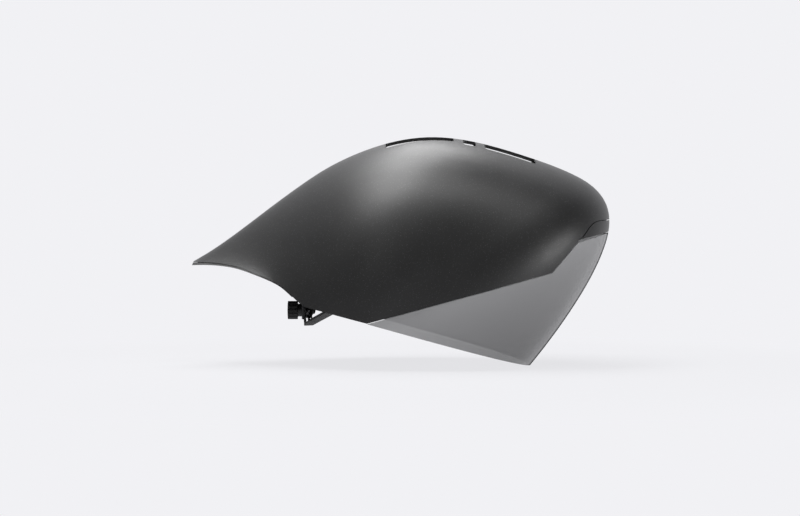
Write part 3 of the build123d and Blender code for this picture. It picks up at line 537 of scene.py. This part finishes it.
@dataclass(frozen=True)
class KnitFabric:
    """Black knitted pad cloth: rows of small loops over thin foam."""

    name: str = "knit_fabric"
    base: float = 0.018
    pitch: float = 1.1 * MM
    turn: tuple[float, float, float] = (0.4, 0.3, 0.2)
    fuzz: float = 1800.0
    fuzz_detail: float = 3.0
    fuzz_share: float = 0.3
    # sink darkens the painted shade down between the loops, lift lightens the loops' tops as
    # painted light
    sink: float = 0.5
    lift: float = 2.4
    rough: float = 0.88
    swing: float = 0.1
    sheen: float = 0.25
    depth: float = 0.25 * MM
    show: float = 0.8

    def build(self) -> bpy.types.Material:
        """Makes the material."""
        board = ShaderBoard(self.name)
        place = board.place(self.turn)
        across, along, up = board.parts(place)
        turns = math.tau / self.pitch
        rows = board.maths("SINE", across * turns) * board.maths("SINE", along * turns)
        loops = rows * board.maths("COSINE", up * turns) * HALF + HALF
        fuzz = board.noise(place, self.fuzz, self.fuzz_detail)
        height = loops * (1 - self.fuzz_share) + fuzz * self.fuzz_share
        # Painted shade and light: the colour is darker down between the loops and lighter on
        # their tops; the fuzz varies the tone at random
        low, high = grey(self.base * self.sink), grey(self.base * self.lift)
        return board.surface(
            Base_Color=board.blend(height, low, high),
            Roughness=self.rough - loops * self.swing,
            Sheen_Weight=self.sheen,
            Normal=board.bump(height, self.depth, self.show),
        )


@dataclass(frozen=True)
class WovenWebbing:
    """Black woven webbing: ribs across the strap, warp lines along it and a slanting twill."""

    name: str
    base: float = 0.012
    rib: float = 1.5 * MM
    warp: float = 0.9 * MM
    slant: float = 2.0
    fuzz: float = 2200.0
    fuzz_share: float = 0.2
    # sink darkens the painted shade in the weave's hollows, lift lightens its raised ribs as
    # painted light
    sink: float = 0.5
    lift: float = 2.6
    rough: float = 0.72
    swing: float = 0.12
    sheen: float = 0.15
    depth: float = 0.22 * MM
    show: float = 0.9

    def build(self) -> bpy.types.Material:
        """Makes the material."""
        board = ShaderBoard(self.name)
        place = board.laid("weave")
        run, across, _ = board.parts(place)
        weft = board.maths("SINE", run * (math.tau / self.rib))
        warp = board.maths("SINE", across * (math.tau / self.warp))
        twill = board.maths("SINE", (run + across * self.slant) * (math.tau / self.rib))
        weave = (weft * warp + twill) * (HALF * HALF) + HALF
        fuzz = board.noise(place, self.fuzz)
        height = weave * (1 - self.fuzz_share) + fuzz * self.fuzz_share
        # Painted shade and light: the colour is darker in the weave's hollows and lighter on its
        # raised ribs; the fuzz varies the tone at random
        low, high = grey(self.base * self.sink), grey(self.base * self.lift)
        return board.surface(
            Base_Color=board.blend(height, low, high),
            Roughness=self.rough - weave * self.swing,
            Sheen_Weight=self.sheen,
            Normal=board.bump(height, self.depth, self.show),
        )


@dataclass(frozen=True)
class PlatedMetal:
    """Plated metal, mottled by fine marks."""

    name: str
    base: float = 0.5
    dull: float = 0.85
    rough: float = 0.3
    swing: float = 0.12
    marks: float = 1500.0
    depth: float = 0.01 * MM
    show: float = 0.5

    def build(self) -> bpy.types.Material:
        """Makes the material."""
        board = ShaderBoard(self.name)
        marks = board.noise(board.place(), self.marks)
        return board.surface(
            Base_Color=board.blend(marks, grey(self.base * self.dull), grey(self.base)),
            Metallic=1,
            Roughness=self.rough + marks * self.swing,
            Normal=board.bump(marks, self.depth, self.show),
        )


@dataclass(frozen=True)
class SoftRubber:
    """Soft black rubber with a dusty bloom."""

    name: str
    base: float = 0.02
    sink: float = 0.7
    lift: float = 1.6
    bloom: float = 160.0
    bloom_detail: float = 4.0
    rough: float = 0.68
    swing: float = 0.12
    grain: float = 3200.0
    depth: float = 0.03 * MM
    show: float = 0.6

    def build(self) -> bpy.types.Material:
        """Makes the material."""
        board = ShaderBoard(self.name)
        place = board.place()
        bloom = board.noise(place, self.bloom, self.bloom_detail)
        grain = board.noise(place, self.grain)
        low, high = grey(self.base * self.sink), grey(self.base * self.lift)
        return board.surface(
            Base_Color=board.blend(bloom, low, high),
            Roughness=self.rough + bloom * self.swing,
            Normal=board.bump(grain, self.depth, self.show),
        )


# Modelling by hand


class Bench:
    """The few modelling moves that every sub-assembly shares."""

    weld_gap = 0.02 * MM

    @staticmethod
    def clear() -> None:
        """Leaves nothing selected, in object mode."""
        if bpy.context.object and bpy.context.object.mode != "OBJECT":
            bpy.ops.object.mode_set(mode="OBJECT")
        bpy.ops.object.select_all(action="DESELECT")

    @staticmethod
    def pick(piece: bpy.types.Object) -> None:
        """Selects one piece and makes it the active one.

        Args:
            piece: The piece.
        """
        Bench.clear()
        piece.select_set(True)
        bpy.context.view_layer.objects.active = piece

    @staticmethod
    def modify(piece: bpy.types.Object, kind: str, **settings: Any) -> None:
        """Adds a modifier to a piece and applies it.

        Args:
            piece: The piece.
            kind: The modifier's type.
            **settings: Its settings.
        """
        Bench.pick(piece)
        made = piece.modifiers.new(kind.lower(), kind)
        for key, value in settings.items():
            setattr(made, key, value)
        bpy.ops.object.modifier_apply(modifier=made.name)

    @staticmethod
    def merged_copy(node: bpy.types.Object, name: str) -> bpy.types.Object:
        """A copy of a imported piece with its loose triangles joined.

        Args:
            node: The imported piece.
            name: The copy's name.

        Returns:
            The copy, with no materials.
        """
        piece = bpy.data.objects.new(name, node.data.copy())
        piece.data.materials.clear()
        bpy.context.scene.collection.objects.link(piece)
        Bench.pick(piece)
        bpy.ops.object.mode_set(mode="EDIT")
        bpy.ops.mesh.select_all(action="SELECT")
        bpy.ops.mesh.remove_doubles(threshold=Bench.weld_gap)
        bpy.ops.mesh.normals_make_consistent(inside=False)
        bpy.ops.object.mode_set(mode="OBJECT")
        return piece

    @staticmethod
    def smooth(piece: bpy.types.Object, angle: float) -> None:
        """Shades a piece smooth where its faces meet at less than an angle in degrees."""
        Bench.pick(piece)
        bpy.ops.object.shade_smooth_by_angle(angle=math.radians(angle))

    @staticmethod
    def paint(piece: bpy.types.Object, material: bpy.types.Material) -> None:
        """Gives all of a piece one material."""
        piece.data.materials.clear()
        piece.data.materials.append(material)


HARD_FINISHES: tuple[tuple[Finish, tuple[str, ...]], ...] = (
    (ShellPaint(), ("outer_shell", "brow_cover")),
    (MouldedPlastic("panel_moulding", base=0.006, rough=0.42), ("under_tail_panel",)),
    (FoamBeads(), ("foam_liner", "tail_foam")),
    (SmokedLens(), ("visor",)),
    (MouldedPlastic("liner_film", base=0.06, rough=0.3, depth=0.01 * MM), ("slip_liner",)),
    (
        MouldedPlastic("fit_nylon", base=0.012, rough=0.46),
        ("height_track", "fit_cradle", "dial_housing", "fit_belt_left", "fit_belt_right"),
    ),
    (MouldedPlastic("gear_acetal", base=0.2, rough=0.35), ("pinion", "click_spring")),
    (SoftRubber("grip_rubber"), ("dial", "slip_anchors", "strap_keeper")),
    (
        PlatedMetal("plated_steel"),
        ("visor_magnets", "shell_magnets", "housing_screws", "dial_screw"),
    ),
    (
        MouldedPlastic("buckle_acetal", base=0.012, rough=0.33),
        (
            "buckle_socket",
            "buckle_plug",
            "strap_anchors",
            "strap_divider_left",
            "strap_divider_right",
        ),
    ),
)


@dataclass
class HardParts:
    """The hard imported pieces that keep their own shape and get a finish."""

    nodes: dict[str, bpy.types.Object]
    finishes: tuple[tuple[Finish, tuple[str, ...]], ...] = HARD_FINISHES

    def dress(self) -> None:
        """Gives every hard piece its material."""
        for finish, names in self.finishes:
            material = finish.build()
            for name in names:
                Bench.paint(self.nodes[name], material)
                LOG.info("%s wears %s", name, material.name)


@dataclass
class Webbing:
    """The side straps and chin straps, as woven bands on their real routes.

    The front, crook and low places are in plan, on the left side. The runs and the chin strap's
    rise are in millimetres, along their own upright plane and up it, and its fold is in plan.
    """

    width: float = 15.0 * MM
    thickness: float = 1.5 * MM
    bend: float = 4.0 * MM
    bend_steps: int = 7
    bend_reach: float = 0.45
    edge: float = 0.35 * MM
    edge_steps: int = 2
    shade: float = 50.0
    front: tuple[float, float] = (20.0 * MM, 91.0 * MM)
    crook: tuple[float, float] = (-78.0 * MM, 62.5 * MM)
    low: tuple[float, float] = (-114.3 * MM, 30.0 * MM)
    first_run: tuple[tuple[float, float], ...] = (
        (0.0, -18.0),
        (0.0, -31.0),
        (79.83, -51.87),
        (94.56, -45.0),
        (109.56, -45.0),
    )
    second_run: tuple[tuple[float, float], ...] = (
        (-7.5, -45.0),
        (7.5, -45.0),
        (46.7, -61.0),
        (56.2, -61.0),
    )
    leg: tuple[tuple[float, float], ...] = ((-116.1, -1.0), (-116.1, -42.0), (-114.3, -61.0))
    rear_cut: float = -115.1 * MM
    low_cut: float = -61.8 * MM
    chin_rise: tuple[tuple[float, float], ...] = ((-118.2, -7.0), (-118.2, -25.2))
    chin_fold: tuple[tuple[float, float], ...] = (
        (-118.2, 22.5),
        (-118.2, 50.0),
        (-123.5, 50.0),
        (-123.5, 19.0),
    )
    chin_level: float = -14.5 * MM
    chin_bend: float = 2.4 * MM

    def rounded(self, corners: list[Vector], bend: float) -> list[Vector]:
        """Rounds the corners of a flat route.

        Args:
            corners: The route's corners, in its own plane.
            bend: The radius of its corners.

        Returns:
            Points along the rounded route.
        """
        line: list[Vector] = [corners[0]]
        for before, corner, after in zip(corners, corners[1:], corners[2:]):
            back = (before - corner).normalized()
            on = (after - corner).normalized()
            shorter = min((before - corner).length, (after - corner).length)
            reach = min(bend / math.tan(back.angle(on) / 2), shorter * self.bend_reach)
            for step in range(self.bend_steps + 1):
                share = step / self.bend_steps
                leaving = corner + back * reach * (1 - share)
                line.append(leaving.lerp(corner + on * reach * share, share))
        line.append(corners[-1])
        return line

    def unroll(self, piece: bpy.types.Object, line: list[Vector], start: float) -> float:
        """Lays a band's UV map flat: metres along its line and across it.

        Args:
            piece: The band, still in its own plane.
            line: The points of its middle line.
            start: How far along the whole strap the band starts.

        Returns:
            How far along the strap the band ends.
        """
        spans = [(here, there, (there - here).length) for here, there in zip(line, line[1:])]
        runs: list[float] = []
        for vertex in piece.data.vertices:
            best, far, behind = 0.0, math.inf, start
            for here, there, length in spans:
                way = (there - here) / length
                reach = min(max((vertex.co.xy - here).dot(way), 0.0), length)
                gap = (vertex.co.xy - here - way * reach).length
                if gap < far:
                    best, far = behind + reach, gap
                behind += length
            runs.append(best)
        layer = piece.data.uv_layers.new(name="weave")
        for loop in piece.data.loops:
            vertex = piece.data.vertices[loop.vertex_index]
            layer.data[loop.index].uv = (runs[loop.vertex_index], vertex.co.z)
        return start + sum(length for _, _, length in spans)

    def band(
        self, name: str, line: list[Vector], stand: Matrix, start: float = 0.0
    ) -> tuple[bpy.types.Object, float]:
        """Makes one woven band from a flat line, as wide as the webbing.

        Args:
            name: The band's name.
            line: The points of its middle line, in its own plane.
            stand: Where that plane stands.
            start: How far along the whole strap the band starts.

        Returns:
            The band, and how far along the strap it ends.
        """
        Bench.clear()
        bpy.ops.curve.primitive_nurbs_path_add(location=(0, 0, 0))
        piece = bpy.context.object
        piece.name = name
        piece.data.splines.clear()
        spline = piece.data.splines.new("POLY")
        spline.points.add(len(line) - 1)
        for point, place in zip(spline.points, line):
            point.co = (place.x, place.y, 0.0, 1.0)
        piece.data.dimensions = "2D"
        piece.data.fill_mode = "NONE"
        piece.data.extrude = self.width / 2
        Bench.pick(piece)
        bpy.ops.object.convert(target="MESH")
        Bench.modify(piece, "SOLIDIFY", thickness=self.thickness, offset=0.0)
        Bench.modify(
            piece, "BEVEL", width=self.edge, segments=self.edge_steps, limit_method="ANGLE"
        )
        end = self.unroll(piece, line, start)
        piece.matrix_world = stand
        bpy.ops.object.transform_apply(location=True, rotation=True, scale=True)
        return piece, end

    def cut(self, piece: bpy.types.Object, place: Vector, way: Vector) -> None:
        """Cuts off what lies beyond a plane, and closes the cut.

        Args:
            piece: The band.
            place: A point of the plane.
            way: The way that the plane faces, to the side that goes.
        """
        Bench.pick(piece)
        bpy.ops.object.mode_set(mode="EDIT")
        bpy.ops.mesh.select_all(action="SELECT")
        bpy.ops.mesh.bisect(plane_co=place, plane_no=way, use_fill=True, clear_outer=True)
        bpy.ops.object.mode_set(mode="OBJECT")

    def joined(self, pieces: list[bpy.types.Object], name: str) -> bpy.types.Object:
        """Joins the bands of one strap.

        Args:
            pieces: The bands.
            name: The strap's name.

        Returns:
            The strap.
        """
        Bench.clear()
        for piece in pieces:
            piece.select_set(True)
        bpy.context.view_layer.objects.active = pieces[0]
        bpy.ops.object.join()
        strap = bpy.context.object
        strap.name = name
        Bench.smooth(strap, self.shade)
        return strap

    def upright(self, side: Side, start: tuple, end: tuple) -> Matrix:
        """The upright plane of a run between two places in plan: its X runs along it.

        Args:
            side: The side of the helmet.
            start: Where the run starts on the left side.
            end: Where it heads.

        Returns:
            The plane's stand.
        """
        first = Vector((start[0], side.value * start[1], 0))
        along = (Vector((end[0], side.value * end[1], 0)) - first).normalized()
        up = Vector((0, 0, 1))
        stand = Matrix((along, up, along.cross(up))).transposed().to_4x4()
        stand.translation = first
        return stand

    def rear(self, side: Side) -> Matrix:
        """The upright plane, along the helmet, that holds what hangs behind the head."""
        return self.upright(side, (0.0, self.low[1]), (1.0, self.low[1]))

    def side_strap(self, side: Side) -> bpy.types.Object:
        """Makes the strap that runs from its front anchor to its rear one.

        Args:
            side: The side of the helmet.

        Returns:
            The strap.
        """
        bands: list[bpy.types.Object] = []
        routes = (
            (self.first_run, self.upright(side, self.front, self.crook)),
            (self.second_run, self.upright(side, self.crook, self.low)),
            (self.leg, self.rear(side)),
        )
        reach = 0.0
        for number, (run, stand) in enumerate(routes):
            line = self.rounded([Vector(place) * MM for place in run], self.bend)
            piece, reach = self.band(f"run_{side.word}_{number}", line, stand, reach)
            bands.append(piece)
        self.cut(bands[1], Vector((self.rear_cut, 0, 0)), Vector((-1, 0, 0)))
        self.cut(bands[2], Vector((0, 0, self.low_cut)), Vector((0, 0, -1)))
        return self.joined(bands, f"woven_side_strap_{side.word}")

    def chin_strap(self, side: Side) -> bpy.types.Object:
        """Makes the strap that is folded up behind the head.

        Args:
            side: The side of the helmet.

        Returns:
            The strap.
        """
        rise = [Vector(place) * MM for place in self.chin_rise]
        hanger, reach = self.band(f"hanger_{side.word}", rise, self.rear(side))
        fold = self.rounded(
            [Vector((x, side.value * y)) * MM for x, y in self.chin_fold], self.chin_bend
        )
        level = Matrix.Translation((0, 0, self.chin_level))
        loop, _ = self.band(f"loop_{side.word}", fold, level, reach)
        return self.joined([hanger, loop], f"woven_chin_strap_{side.word}")

    def dress(self) -> None:
        """Makes all four straps and puts them in place of the plain ones."""
        cloth = WovenWebbing("webbing").build()
        for side in Side:
            strap = self.side_strap(side)
            Bench.paint(strap, cloth)
            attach(strap, "helmet")
            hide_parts(f"side_strap_{side.word}")
            chin = self.chin_strap(side)
            Bench.paint(chin, cloth)
            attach(chin, "helmet" if side is Side.LEFT else "buckle")
            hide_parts(f"chin_strap_{side.word}")
            LOG.info("%s and %s are woven", strap.name, chin.name)


@dataclass
class ComfortPads:
    """The pads: thin foam in knitted cloth, swollen a little between their edges."""

    nodes: dict[str, bpy.types.Object]
    voxel: float = 1.6 * MM
    shrink: float = 0.35 * MM
    pressure: float = 4.0
    quality: int = 4
    frames: int = 14
    first_smooth: tuple[float, int] = (0.5, 4)
    last_smooth: tuple[float, int] = (0.4, 2)
    shade: float = 80.0
    kinds: dict[str, tuple[PadKind, str]] = field(
        default_factory=lambda: {
            "brow_pad": (PadKind.BROW, "slip"),
            "crown_pad": (PadKind.CROWN, "slip"),
            "side_pad_left": (PadKind.SIDE, "slip"),
            "side_pad_right": (PadKind.SIDE, "slip"),
            "nape_pad_left": (PadKind.NAPE, "cradle"),
            "nape_pad_right": (PadKind.NAPE, "cradle"),
            "chin_pad": (PadKind.CHIN, "helmet"),
        }
    )

    def swell(self, piece: bpy.types.Object, kind: PadKind) -> None:
        """Blows a pad's cloth up a little and keeps each point near where it was.

        Args:
            piece: The pad.
            kind: Its kind, which says how far it may swell.
        """
        before = [vertex.co.copy() for vertex in piece.data.vertices]
        Bench.pick(piece)
        cloth = piece.modifiers.new("cloth", "CLOTH")
        cloth.settings.use_pressure = True
        cloth.settings.uniform_pressure_force = self.pressure
        cloth.settings.effector_weights.gravity = 0
        cloth.settings.quality = self.quality
        cloth.point_cache.frame_start = 1
        cloth.point_cache.frame_end = self.frames
        for frame in range(1, self.frames + 1):
            bpy.context.scene.frame_set(frame)
        bpy.ops.object.modifier_apply(modifier=cloth.name)
        bpy.context.scene.frame_set(1)
        for vertex, old in zip(piece.data.vertices, before):
            move = vertex.co - old
            if move.length > kind.swell:
                vertex.co = old + move.normalized() * kind.swell

    def relax(self, piece: bpy.types.Object, factor: float, rounds: int) -> None:
        """Smooths a pad's mesh."""
        Bench.modify(piece, "SMOOTH", factor=factor, iterations=rounds)

    def dress(self) -> None:
        """Makes every pad and puts it in place of the plain one."""
        cloth = KnitFabric().build()
        for name, (kind, body) in self.kinds.items():
            piece = Bench.merged_copy(self.nodes[name], f"knit_{name}")
            Bench.modify(piece, "REMESH", mode="VOXEL", voxel_size=self.voxel)
            Bench.modify(piece, "DISPLACE", strength=-self.shrink, mid_level=0.0)
            self.relax(piece, *self.first_smooth)
            self.swell(piece, kind)
            self.relax(piece, *self.last_smooth)
            Bench.smooth(piece, self.shade)
            Bench.paint(piece, cloth)
            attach(piece, body)
            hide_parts(name)
            LOG.info("%s has %d faces", piece.name, len(piece.data.polygons))


@dataclass(frozen=True)
class Softbox:
    """A soft lamp: where it hangs, its width and height, its watts and the point it faces."""

    name: str
    place: tuple[float, float, float]
    size: tuple[float, float]
    power: float
    aim: tuple[float, float, float] = (0.0, 0.0, 0.0)

    def hang(self) -> None:
        """Hangs the lamp."""
        data = bpy.data.lights.new(self.name, "AREA")
        data.shape = "RECTANGLE"
        data.size, data.size_y = self.size
        data.energy = self.power
        lamp = bpy.data.objects.new(self.name, data)
        lamp.location = self.place
        way = Vector(self.aim) - Vector(self.place)
        lamp.rotation_euler = way.to_track_quat("-Z", "Y").to_euler()
        bpy.context.scene.collection.objects.link(lamp)


@dataclass
class Studio:
    """The pale floor, the soft lights and the camera."""

    floor_level: float = -99.0 * MM
    floor_radius: float = 6.0
    floor_corners: int = 64
    backdrop: float = 0.88
    room: float = 0.02
    paper: float = 0.50
    fade: tuple[float, float] = (0.22, 0.55)
    plain: float = 0.86
    wall_edge: tuple[float, float] = (-0.1, 0.3)
    distance: float = 1.5
    middle: tuple[float, float] = (-28.0 * MM, 0.0)
    view_width: float = 745.6 * MM
    film: float = 36.0
    lamps: tuple[Softbox, ...] = (
        Softbox("top_box", (-0.24, 0.12, 1.1), (1.5, 0.6), 24.0),
        Softbox("near_box", (-0.15, -0.6, 1.1), (1.4, 0.4), 9.5),
        Softbox("front_box", (1.2, -0.9, 0.0), (0.6, 0.6), 12.0, (0.05, 0.0, -0.03)),
        Softbox("tail_box", (-1.3, -0.6, 0.5), (0.5, 0.7), 0.6),
        Softbox("side_box", (-0.5, -1.3, 0.6), (0.6, 0.4), 0.9),
    )

    def camera(self) -> None:
        """Puts the camera at the photograph's place, level and square to the side."""
        data = bpy.data.cameras.new("side_camera")
        data.sensor_width = self.film
        data.lens = self.film * self.distance / self.view_width
        camera = bpy.data.objects.new("side_camera", data)
        camera.location = (self.middle[0], -self.distance, self.middle[1])
        camera.rotation_euler = (math.pi / 2, 0, 0)
        bpy.context.scene.collection.objects.link(camera)
        bpy.context.scene.camera = camera

    def seen(self, board: NodeBoard, mirrored: Any) -> ShaderNumber:
        """Tells the rays that show the backdrop from those that only light the helmet.

        Args:
            board: The board of the floor or the world.
            mirrored: How far a reflection shows the backdrop, from 0 to 1.

        Returns:
            1 for the camera's rays and those through glass, and mirrored for reflections.
        """
        ways = board.node("ShaderNodeLightPath").outputs
        straight = board.maths("MAXIMUM", ways["Is Camera Ray"], ways["Is Transmission Ray"])
        mirror = board.maths("MULTIPLY", ways["Is Glossy Ray"], mirrored)
        return board.maths("MAXIMUM", straight, mirror)

    def floor(self) -> None:
        """Lays the floor, which fades into the backdrop and is clear from below."""
        Bench.clear()
        bpy.ops.mesh.primitive_circle_add(
            vertices=self.floor_corners,
            radius=self.floor_radius,
            fill_type="NGON",
            location=(0, 0, self.floor_level),
        )
        floor = bpy.context.object
        floor.name = "studio_floor"
        board = ShaderBoard("studio_floor")
        across, along, _ = board.parts(board.place())
        across = across - self.middle[0]
        reach = (across * across + along * along) ** HALF
        fade = self.plain + board.steps(reach, *self.fade) * (1 - self.plain)
        paper = board.node("ShaderNodeBsdfDiffuse", Color=grey(self.paper))
        glow = board.node("ShaderNodeEmission", Color=grey(self.backdrop), Strength=1)
        dark = board.node("ShaderNodeEmission", Color=grey(self.room), Strength=1)
        far = board.mixed(self.seen(board, 1), dark, glow)
        above = board.mixed(fade, paper, far)
        under = board.node("ShaderNodeNewGeometry").outputs["Backfacing"]
        clear = board.node("ShaderNodeBsdfTransparent")
        Bench.paint(floor, board.finish(board.mixed(under, above, clear)))

    def world(self) -> None:
        """Sets the pale backdrop that is seen, and the dim room that lights the helmet."""
        world = bpy.data.worlds.new("studio")
        bpy.context.scene.world = world
        board = NodeBoard(world)
        place = board.node("ShaderNodeTexCoord").outputs["Generated"]
        behind = board.node(
            "ShaderNodeMapRange",
            Value=board.parts(place)[1],
            From_Min=self.wall_edge[0],
            From_Max=self.wall_edge[1],
        )
        wall = board.node("ShaderNodeBackground", Color=grey(self.backdrop))
        room = board.node("ShaderNodeBackground", Color=grey(self.room))
        whole = board.mixed(self.seen(board, behind.outputs["Result"]), room, wall)
        board.node("ShaderNodeOutputWorld", Surface=whole.outputs[0])

    def build(self) -> None:
        """Makes the whole studio."""
        self.camera()
        self.floor()
        self.world()
        for lamp in self.lamps:
            lamp.hang()
            LOG.info("%s gives %.1f W", lamp.name, lamp.power)
        bpy.context.scene.view_settings.view_transform = "Standard"


def main() -> None:
    """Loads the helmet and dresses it."""
    logging.basicConfig(level=logging.INFO, format="%(message)s")
    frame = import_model()
    Studio().build()
    HardParts(frame["nodes"]).dress()
    Webbing().dress()
    ComfortPads(frame["nodes"]).dress()
    Bench.clear()


if __name__ == "__main__":
    main()
